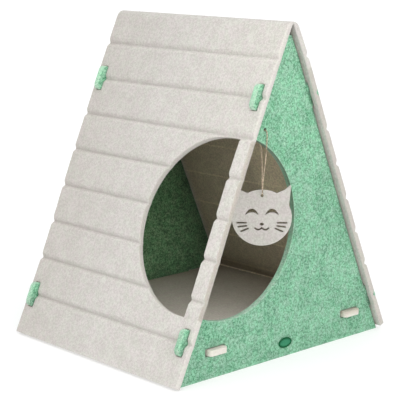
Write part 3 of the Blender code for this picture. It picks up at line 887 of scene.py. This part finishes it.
def roof_grid():
    """Rows of points that follow the grooves, closer together where the felt bends."""
    offs = np.array(GROOVE_ROWS) * GROOVE_WIDTH / 2
    downs = []
    for number in range(1, PLANKS):
        downs += [number * PLANK + off for off in offs] + [number * PLANK - off for off in offs[1:]]
    for number in range(PLANKS + 1):
        downs += list(number * PLANK + np.linspace(GROOVE_WIDTH, PLANK - GROOVE_WIDTH, 7))
    rows = [0.0]
    for side in (LEFT, RIGHT):
        at_floor = down_at_height(side, FLOOR_TOP, -FELT)
        rows += [along_sheet(side, at_floor - up) for up in FLOOR_ROWS]
        rows += [along_sheet(side, d) for d in downs if FOLD_END < d < FOOT[side]]
        rows += list(side * np.linspace(0.0, FOLD_LENGTH, 9)[1:])
    step, shift = 0.0058, 0.0015
    lines = np.arange(-HALF_DEPTH, HALF_DEPTH, step)
    return np.array([(u, v + shift * (k % 2)) for k, u in enumerate(sorted(set(rows))) for v in lines])


def side_opening():
    """The round opening in the left slope, straight along the front strip."""
    start = math.asin((STRIP_FOOT - SIDE_HOLE_IN) / OPENING_RADIUS)
    sweep = math.pi - start - math.asin((STRIP_TOP - SIDE_HOLE_IN) / OPENING_RADIUS)
    centre = along_sheet(LEFT, SIDE_HOLE_DOWN), SIDE_HOLE_IN - HALF_DEPTH
    return arc(centre, (-OPENING_RADIUS, OPENING_RADIUS), start, sweep, 180)


def roof_outlines():
    """The flat sheet with its round opening and eight slots."""
    left, right = along_sheet(LEFT, FOOT[LEFT]), along_sheet(RIGHT, FOOT[RIGHT])
    outer = rounded_box((left + right) / 2, 0.0, (right - left) / 2, HALF_DEPTH, ROOF_CORNER, 4)
    holes = [side_opening()]
    for side in (LEFT, RIGHT):
        for groove in TAB_GROOVES:
            for front in (FRONT, BACK):
                middle = along_sheet(side, groove * PLANK)
                half_long, half_wide = TAB_LENGTH / 2 + SLOT_END_PLAY, FELT / 2 + SLOT_SIDE_PLAY
                holes.append(rounded_box(middle, front * GABLE_MIDDLE, half_long, half_wide, SLOT_CORNER))
    return outer, holes


def roof_tones(u, v, from_edge):
    """Painted shade and highlights along the grooves, painted shade in the house's corners and light
    inside.
    """
    down = down_slope(u)
    past = past_groove(down)
    height = np.where(u < 0, slope_point(LEFT, down, -FELT)[1], slope_point(RIGHT, down, -FELT)[1])
    flat_face = off_edge(from_edge)
    within = unit((GABLE_FACE - np.abs(v)) / 0.02) * flat_face
    above_floor = height - FLOOR_TOP - FLOOR_HIGHLIGHT_TOP
    no_look = np.zeros_like(u)

    # painted shade on the front cut edge, the round opening's rim and round the slots; the front cut is
    # darkest on the strip beside the round opening
    strip = (u < 0) & (np.abs(down - SIDE_HOLE_DOWN) < OPENING_RADIUS)
    cuts = (0.06 + 0.42 * strip + 0.26 * (u > 0.08)) * near(v + HALF_DEPTH, 0.0008)
    hole_centre = SIDE_HOLE_DOWN, SIDE_HOLE_IN - HALF_DEPTH
    cuts += 0.2 * (u < 0) * near_circle(down, v, hole_centre, OPENING_RADIUS, 0.0008)
    middle = PLANK * np.where(down < 5 * PLANK, TAB_GROOVES[0], TAB_GROOVES[1])
    slots = past_box(np.abs(down - middle) - TAB_LENGTH / 2, np.abs(np.abs(v) - GABLE_MIDDLE) - FELT / 2)

    # inside: painted shade, darker and warmer, over the inner face within the house; more painted shade
    # above the floor, at the back and along the gables; painted highlights on the creases and just above
    # the floor; and painted light where the doorways let it in
    corners = within * (fading(above_floor, 0.012) + 0.4 * fading(GABLE_FACE - FELT - v, 0.03))
    corners += 0.6 * within * fading(above_floor, 0.035) * unit(v / 0.08)
    corners += 0.75 * near(np.abs(v) - GABLE_FACE, 0.0024)
    crease_highlight = within * (0.7 * near(past, 0.0011) + near(above_floor + 0.0012, 0.0010))
    lit = within * (u > 0) * unit((0.004 - v) / 0.03) * np.clip(4 * height, 0.0, 0.9)

    # outside: painted shade low in the grooves and a painted highlight on each lower lip, and on the left
    # slope painted light that makes it paler towards its front and ridge and painted shade that makes it
    # duller at its back
    groove = (0.2 * groove_share(down) + 0.85 * near(past + 0.0008, 0.0014)) * unit(4 * down)
    forward = (HALF_DEPTH - v) / HOUSE_DEPTH
    left_face = unit(-u / 0.012)
    paler = 0.2 * near(past - 0.0044, 0.0012) * flat_face
    paler += left_face * unit((forward - 0.4) / 0.6) * (0.32 - 0.2 * down / FOOT[LEFT])
    duller = 0.2 * left_face * unit(1 - forward / 0.45)
    return {"pressed": (groove, no_look), "raised": (paler, crease_highlight + lit), "inner_side": (no_look, within),
            "shade": (0.7 * near(slots, 0.0016) + cuts + duller, corners + cuts)}


def make_roof(mat):
    """The folded sheet with the grooves pushed into it."""
    outer, holes = roof_outlines()
    return felt_panel("roof_sheet", outer, holes, roof_place, roof_tones, mat, roof_grid(), ROOF_ROUND)


# ---- gables

def gable_edge(side):
    """One raking edge from its tip to the ground, with its tabs."""
    inside = -FELT - EDGE_GAP
    foot_down = down_at_height(side, 0.0, inside)
    points = [slope_point(side, down_at_height(side, GABLE_TOP, inside), inside)]
    for groove in range(1, PLANKS + 1):
        middle = groove * PLANK
        if groove in TAB_GROOVES:
            low, high = middle - TAB_LENGTH / 2, middle + TAB_LENGTH / 2
            points.append(slope_point(side, low, inside))
            for down, out in round_tab(low, high, inside, TAB_OUT, TAB_ROUND)[1:-1]:
                points.append(straight_point(side, middle, down, out))
            points.append(slope_point(side, high, inside))
        elif middle < foot_down:
            points.append(slope_point(side, middle, inside))
    points.append(slope_point(side, foot_down, inside))
    return [(float(x), float(z)) for x, z in points]


def gable_outline(with_door):
    """Clockwise from the left foot; the doorway runs out through the left edge."""
    left = gable_edge(LEFT)[::-1]
    if with_door:
        left = open_doorway(left)
    return left + gable_edge(RIGHT)


def open_doorway(edge):
    """Replace the part of the left edge inside the doorway's circle by the circle's far side."""
    step, clear = 0.0004, 0.0005
    cut = [p for p in even_line(edge, step) if math.dist(p, (DOOR_X, DOOR_Z)) < OPENING_RADIUS]
    low, high = cut[0], cut[-1]
    start, end = (math.atan2(z - DOOR_Z, x - DOOR_X) for x, z in (low, high))
    round_side = arc((DOOR_X, DOOR_Z), (OPENING_RADIUS, OPENING_RADIUS), start, end - start, 240)
    below = [p for p in edge if p[1] < low[1] - clear]
    above = [p for p in edge if p[1] > high[1] + clear]
    return below + round_side + above


def under_slope(u, v):
    """How far a gable's point lies inside the roof's inner face; negative on the tabs."""
    out = np.abs(u) * math.cos(HALF_ANGLE) + (v - APEX_HEIGHT) * math.sin(HALF_ANGLE)
    down = (APEX_HEIGHT - v) / math.cos(HALF_ANGLE) - RIDGE_DROP
    return -FELT - out + np.where(u < 0, bow_at(LEFT, down), bow_at(RIGHT, down))


# Heights on the gable: where painted light begins to make its face paler, over how much, and below which
# painted shade makes it duller
PALE_ABOVE = 0.265
PALE_FADE = 0.04
DULL_BELOW = 0.14


def gable_tones(u, v, from_edge):
    """Painted light on tabs and tip; painted shade along the roof, at the slots, the floor and the
    doorway's wall.
    """
    inside = under_slope(u, v)
    flat_face = off_edge(from_edge)
    # painted shade along the roof, round the floor's slots, on the doorway's wall and rim, at the twine's
    # hole and in the corners inside
    seam = 0.85 * near(np.maximum(inside - EDGE_GAP, 0.0), 0.0018) * (inside > 0.0)
    seam += 0.3 * near(inside + FELT, 0.0012)
    past_tab = np.abs(np.abs(u - FLOOR_TAB_SHIFT) - FLOOR_TAB_X) - FLOOR_TAB_WIDTH / 2
    past_floor = np.abs(v - FLOOR_TOP + FELT / 2) - FELT / 2
    slots = past_box(past_tab, past_floor)
    door = near_circle(u, v, (DOOR_X, DOOR_Z), OPENING_RADIUS, 0.0012)
    door *= unit(0.75 + (v - DOOR_Z) / OPENING_RADIUS)
    door_rim = door * near(from_edge, 0.0002)
    twine_hole = near_circle(u, v, (HANG_X, TWINE_HOLE_Z), TWINE_HOLE_RADIUS, 0.0008)
    corners = 0.95 * fading(inside, 0.034) + 0.5 * fading(v - FLOOR_TOP, 0.010)
    # painted light on the tabs, more on the upper ones
    tabs = (inside < -FELT) * np.where(v > GABLE_TOP / 2, 0.45, 0.15)
    # painted light makes the outer face a little paler towards its tip, and painted shade makes it a little
    # duller near the ground
    face = flat_face * (inside > 0.0)
    paler = 0.2 * face * unit((v - PALE_ABOVE) / PALE_FADE)
    duller = 0.07 * face * unit(1 - v / DULL_BELOW)
    return {"raised": (tabs + paler, tabs),
            "inner_side": (np.zeros_like(u), flat_face * unit(inside / 0.004)),
            "shade": (seam + 0.8 * near(slots - 0.0008, 0.0014) + door_rim + twine_hole + duller,
                      corners + 0.35 * door + twine_hole)}


def floor_tab_middle(side):
    """Where a tab of the floor stands across the house."""
    return side * FLOOR_TAB_X + FLOOR_TAB_SHIFT


def make_gable(name, front, mat):
    """A gable panel; the one at the front has the doorway and the twine's hole."""
    def place(u, v, w):
        return np.stack([u, front * (GABLE_MIDDLE + w), v], axis=1)
    half = FLOOR_TAB_WIDTH / 2 + FLOOR_SLOT_END_PLAY, FELT / 2 + FLOOR_SLOT_PLAY
    holes = []
    for side in (LEFT, RIGHT):
        holes.append(rounded_box(floor_tab_middle(side), FLOOR_TOP - FELT / 2, *half, SLOT_CORNER))
    if front == FRONT:
        holes.append(ellipse(HANG_X, TWINE_HOLE_Z, TWINE_HOLE_RADIUS, TWINE_HOLE_RADIUS, 24))
    grid = grid_points(*GABLE_POINTS)
    return felt_panel(name, gable_outline(front == FRONT), holes, place, gable_tones, mat, grid)


# ---- floor

def make_floor(mat):
    """The floor, held up off the ground, with two tabs through each gable."""
    edge = {}
    for side in (LEFT, RIGHT):
        edge[side] = abs(slope_point(side, down_at_height(side, FLOOR_TOP, -FELT), -FELT)[0]) - SNUG
    inner_y, outer_y = GABLE_FACE - FELT - SNUG, GABLE_FACE + FLOOR_TAB_OUT

    def tab(side, front):
        low, high = (floor_tab_middle(side) + half * FLOOR_TAB_WIDTH / 2 for half in (-1, 1))
        return [(x, front * y) for x, y in round_tab(low, high, inner_y, outer_y, FLOOR_TAB_ROUND)]

    outline = [(-edge[LEFT], -inner_y)] + tab(LEFT, FRONT) + tab(RIGHT, FRONT)
    outline += [(edge[RIGHT], -inner_y), (edge[RIGHT], inner_y)]
    outline += (tab(LEFT, BACK) + tab(RIGHT, BACK))[::-1] + [(-edge[LEFT], inner_y)]

    def place(u, v, w):
        return np.stack([u, v, FLOOR_TOP - FELT / 2 + w], axis=1)

    def tones(u, v, from_edge):
        # painted shade towards the right slope and the back, and at the roots of the tabs
        corner = 0.75 * fading(edge[RIGHT] - u, 0.10) + 0.4 * fading(inner_y - v, 0.04)
        root = 0.6 * near(np.abs(v) - GABLE_FACE, 0.0013)
        return {"shade": (corner + root, root)}
    return felt_panel("floor_felt_panel", outline, [], place, tones, mat, grid_points(*FLOOR_POINTS))


# ---- pendant

def pendant_matrix():
    """Where the pendant hangs, turned about its twine; it is drawn round its hole."""
    return Matrix.Translation((HANG_X, -GABLE_MIDDLE, HANG_Z)) @ Matrix.Rotation(PENDANT_TURN, 4, "Z")


def head_arc(start, end, steps):
    """Points along the round of the head."""
    return arc((0.0, -HEAD_DROP), (HEAD_HALF_WIDTH, HEAD_HALF_HEIGHT), start, end - start, steps)


def ear():
    """The right ear, from its outer base round its tip to its inner side."""
    outer, inner = (Vector(point) for point in head_arc(EAR_BASE_OUT, EAR_BASE_IN, 1))
    tip = Vector(EAR_TIP)
    down_out, down_in = (outer - tip).normalized(), (inner - tip).normalized()
    half = down_out.angle(down_in) / 2
    away = -(down_out + down_in).normalized()
    middle = tip - away * EAR_TIP_ROUND / math.sin(half)
    points = []
    for i in range(7):
        spun = Matrix.Rotation((i / 6 - 0.5) * (math.pi - 2 * half), 2) @ away
        points.append(middle + spun * EAR_TIP_ROUND)
    points.append((inner + tip) / 2 + Vector(EAR_HOLLOW))
    return [(p.x, p.y) for p in points]


def head_outline():
    """The round head with its two ears."""
    right_ear = ear()
    left_ear = [(-x, y) for x, y in reversed(right_ear)]
    upper_arc = head_arc(EAR_BASE_IN, math.pi - EAR_BASE_IN, 28)
    lower_arc = head_arc(math.pi - EAR_BASE_OUT, 2 * math.pi + EAR_BASE_OUT, 104)
    return lower_arc[-1:] + right_ear + upper_arc + left_ear + lower_arc[:-1]


def arch(centre, half_width, rise):
    """A flat-topped arch, from its left foot to its right one."""
    across = [-1 + i / 10 for i in range(21)]
    return [(centre[0] + half_width * t, centre[1] + rise * (1 - abs(t) ** EYE_FLATNESS)) for t in across]


def stroke(path, width):
    """A line of even width with round ends along a path."""
    path = [Vector(p) for p in path]
    left, right = [], []
    for i, point in enumerate(path):
        along = (path[min(i + 1, len(path) - 1)] - path[max(i - 1, 0)]).normalized()
        aside = Vector((-along.y, along.x)) * width / 2
        left.append(point + aside)
        right.append(point - aside)
    ends = []
    for point, inner in ((path[-1], path[-2]), (path[0], path[1])):
        along = (point - inner).normalized()
        aside = Vector((-along.y, along.x))
        turns = [math.pi * i / 6 for i in range(1, 6)]
        ends.append([point + (aside * math.cos(a) + along * math.sin(a)) * width / 2 for a in turns])
    return [(p.x, p.y) for p in left + ends[0] + right[::-1] + ends[1]]


def mouth_path():
    """Two scallops that meet under the nose."""
    points = []
    for i in range(33):
        t = -1 + 2 * i / 32
        scallop = math.sin(abs(t) * math.pi) ** 0.9 if 0 < abs(t) < 1 else 0.0
        z = MOUTH_TOP - MOUTH_DIP * scallop + MOUTH_PEAK * (1 - abs(t))
        points.append((MOUTH_HALF_WIDTH * t, z))
    return points


def face_outlines():
    """The nose, the mouth, two closed smiling eyes and six whiskers, all cut through."""
    shapes = [ellipse(*NOSE, 24), stroke(mouth_path(), LINE_WIDTH)]
    for side in (LEFT, RIGHT):
        outer_arch, inner_arch = (arch((side * EYE_X, EYE_Z), EYE_HALF_WIDTH, rise) for rise in EYE_RISES)
        shapes.append(outer_arch + inner_arch[-2:0:-1])
        for whisker in WHISKERS:
            shapes.append(stroke([(side * x, z) for x, z in whisker], LINE_WIDTH))
    return shapes


def make_pendant(mat):
    """The cat's head, cut from thin felt, with painted shade where its face was cut."""
    matrix = np.array(pendant_matrix())

    def place(u, v, w):
        local = np.stack([u, -w, v, np.ones_like(u)], axis=1)
        return (local @ matrix.T)[:, :3]
    face = face_outlines()
    holes = [ellipse(0, 0, PENDANT_HOLE_RADIUS, PENDANT_HOLE_RADIUS, 24)] + face

    def tones(u, v, from_edge):
        loops = [even_loop(shape, 0.0008) for shape in face]
        # painted shade along the cuts of the face
        face_cut_shade = near(edge_distance(np.stack([u, v], axis=1), loops), 0.0004)
        return {"shade": (face_cut_shade, face_cut_shade)}
    grid = grid_points(*PENDANT_POINTS)
    return felt_panel("cat_head", head_outline(), holes, place, tones, mat, grid, PENDANT_ROUND,
                      PENDANT_THICK, step=0.0011, uneven=0.00006)


# ---- twine

def heading(points, i):
    """Direction of a smooth curve at one of its points; the nearer neighbour counts more."""
    before = points[i] - points[max(i - 1, 0)]
    after = points[min(i + 1, len(points) - 1)] - points[i]
    if before.length == 0.0:
        return after.normalized()
    if after.length == 0.0:
        return before.normalized()
    return (before.normalized() * after.length + after.normalized() * before.length).normalized()


def smooth_line(points, steps=24):
    """A smooth curve through the given points."""
    smooth = []
    for i in range(len(points) - 1):
        a, b = points[i], points[i + 1]
        reach = (b - a).length
        out, into = heading(points, i) * reach, heading(points, i + 1) * reach
        for j in range(steps):
            t = j / steps
            smooth.append(a * (1 + 2 * t) * (1 - t) ** 2 + out * t * (1 - t) ** 2
                          + b * t ** 2 * (3 - 2 * t) - into * t ** 2 * (1 - t))
    return smooth + [points[-1]]


def quarter_bend(start, first, second):
    """From start a quarter of a turn, out of the first direction into the second."""
    centre = start + second * TWINE_BEND
    turns = [math.pi / 2 * i / 4 for i in range(5)]
    return [centre - second * TWINE_BEND * math.cos(a) + first * TWINE_BEND * math.sin(a) for a in turns]


def twine_route():
    """The loop: from inside the gable's hole, down the front, through the pendant and up behind."""
    forward, down, up = Vector((0.0, -1.0, 0.0)), Vector((0.0, 0.0, -1.0)), Vector((0.0, 0.0, 1.0))
    facing = (pendant_matrix().to_3x3() @ forward).normalized()
    hole_z = TWINE_HOLE_Z - TWINE_HOLE_RADIUS + TWINE_RADIUS + SNUG
    eye = Vector((HANG_X, -GABLE_MIDDLE, HANG_Z + PENDANT_HOLE_RADIUS - TWINE_RADIUS - SNUG))
    thread = PENDANT_THICK / 2 + THREAD_GAP
    door_edge = DOOR_Z + math.sqrt(OPENING_RADIUS ** 2 - (HANG_X - DOOR_X) ** 2)

    route = [Vector((HANG_X, -GABLE_MIDDLE - SNUG, hole_z))]
    route += quarter_bend(Vector((HANG_X, -GABLE_FACE, hole_z)), forward, down)
    route.append(Vector((HANG_X, -GABLE_FACE - TWINE_FRONT_GAP, door_edge)))
    route += reversed(quarter_bend(eye + facing * thread, facing, up))
    route += quarter_bend(eye - facing * thread, -facing, up)
    behind = -GABLE_FACE + FELT + TWINE_RADIUS + SNUG
    route.append(Vector((HANG_X + TWINE_SIDE_STEP, behind, door_edge)))
    route += reversed(quarter_bend(Vector((HANG_X, -GABLE_FACE + FELT, hole_z)), -forward, down))
    route.append(Vector((HANG_X, -GABLE_MIDDLE + SNUG, hole_z)))
    return route


# Length of one turn, and how the strands lie round the twine's middle
TWIST = {"Lay": 0.0058, "Strand Off": 0.00045, "Strand Radius": 0.00042, "Step": 0.00035}


def twist_tree(mat):
    """Three strands that wind round a line."""
    tree, given, result = maker_tree("twisted_strands", TWIST)
    line = geo_node(tree, "MeshToCurve", Mesh=given["Geometry"])
    line = geo_node(tree, "ResampleCurve", {"mode": "LENGTH"}, Curve=line.outputs[0], Length=given["Step"])
    along = geo_node(tree, "SplineParameter").outputs["Length"]
    normal = geo_node(tree, "InputNormal").outputs[0]
    tangent = geo_node(tree, "InputTangent").outputs[0]
    across = vector_step(tree, "CROSS_PRODUCT", tangent, normal)
    turns = times(tree, maths(tree, "DIVIDE", along, given["Lay"]), 2 * math.pi)
    ring = geo_node(tree, "CurvePrimitiveCircle", Resolution=7, Radius=given["Strand Radius"])
    join = geo_node(tree, "JoinGeometry")
    for strand in range(3):
        angle = plus(tree, turns, strand * 2 * math.pi / 3)
        one = vector_step(tree, "SCALE", normal, scale=maths(tree, "COSINE", angle))
        two = vector_step(tree, "SCALE", across, scale=maths(tree, "SINE", angle))
        away = vector_step(tree, "SCALE", vector_step(tree, "ADD", one, two), scale=given["Strand Off"])
        moved = geo_node(tree, "SetPosition", Geometry=line.outputs[0], Offset=away)
        tube = geo_node(tree, "CurveToMesh", Curve=moved.outputs[0], Profile_Curve=ring.outputs[0],
                        Fill_Caps=True)
        feed(tree, join.inputs[0], tube.outputs[0])
    return end_tree(tree, join.outputs[0], mat, result)


def make_twine(mat):
    """Twisted jute along the route; gives the piece and its centre line."""
    line = smooth_line(twine_route())
    mesh = bpy.data.meshes.new("twine_line")
    mesh.from_pydata(line, [(i, i + 1) for i in range(len(line) - 1)], [])
    guide = add_object("twine_line", mesh)
    piece = run_tree("jute_twine", guide, twist_tree(mat), TWIST)
    bpy.data.objects.remove(guide, do_unlink=True)
    return piece, line


# ---- badge

def make_badge(mat):
    """A plain rubber oval with a rolled rim, on the front gable."""
    steps = 96
    # inset from the outline, height over the felt, and how much it belongs to the rim
    profile = [(0.0, 0.0, 0), (0.0, 0.0009, 0.5), (0.00012, 0.0013, 1), (0.0004, 0.0016, 1),
               (0.0008, 0.0016, 1), (0.0011, 0.0013, 1), (0.0014, 0.00115, 0.9), (0.0026, 0.0012, 0.6),
               (0.0042, 0.00125, 0), (0.0068, 0.00127, 0)]
    points, marks, faces = [], [], []
    for inset, out, rim in profile:
        for x, z in ellipse(0.0, 0.0, BADGE_HALF_WIDTH - inset, BADGE_HALF_HEIGHT - inset, steps):
            points.append((BADGE_X + x, -GABLE_FACE - BADGE_GAP - out, BADGE_Z + z))
            marks.append(rim)
    for row in range(len(profile) - 1):
        for i in range(steps):
            j = (i + 1) % steps
            faces.append((row * steps + i, row * steps + j, (row + 1) * steps + j, (row + 1) * steps + i))
    faces.append(tuple(range(steps))[::-1])
    last = (len(profile) - 1) * steps
    faces.append(tuple(range(last, last + steps)))
    return mesh_piece("badge_oval", points, faces, mat, {"rim": marks})


# ---- making

def dress(piece, node):
    """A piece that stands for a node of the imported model."""
    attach(piece, "root")
    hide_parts(node)


def main():
    """Camera, light and ground, then the twine, the felt panels and the badge."""
    make_camera()
    make_light()
    make_ground()
    fibres = felt_group()
    off_white = felt("off_white_felt", fibres, OFF_WHITE)
    mint = felt("mint_felt", fibres, MINT)
    floor_felt = felt("floor_felt", fibres, FLOOR_WHITE)
    pendant_felt = felt("pendant_felt", fibres, PENDANT_WHITE, bump=0.35)

    twine, line = make_twine(jute_material())
    dress(twine, "twine")
    length = sum((b - a).length for a, b in zip(line, line[1:]))
    [tuple(p) for p in line]

    def lay(panel, node, slot, mat, share=1.0, **sheet):
        """Dress one felt panel, with its loose hairs; share says how many."""
        dress(panel, node)
        crowd = dict(HAIRS, Density=HAIRS["Density"] * share)
        hairs = run_tree(node + "_hairs", panel, hair_tree(mat), crowd)
        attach(hairs, "root")

    lay(make_roof(off_white), "roof", "off_white_felt", off_white, held="folded")
    for gable, front in (("front_gable", FRONT), ("back_gable", BACK)):
        lay(make_gable(gable + "_panel", front, mint), gable, "mint_felt", mint, held="stretched")
    lay(make_floor(floor_felt), "floor_panel", "floor_felt", floor_felt, 0.8, held="laid",
        rests_on=["roof"])
    lay(make_pendant(pendant_felt), "pendant", "pendant_felt", pendant_felt, 2.0, held="hung")
    badge = make_badge(rubber_material())
    dress(badge, "badge")


main()
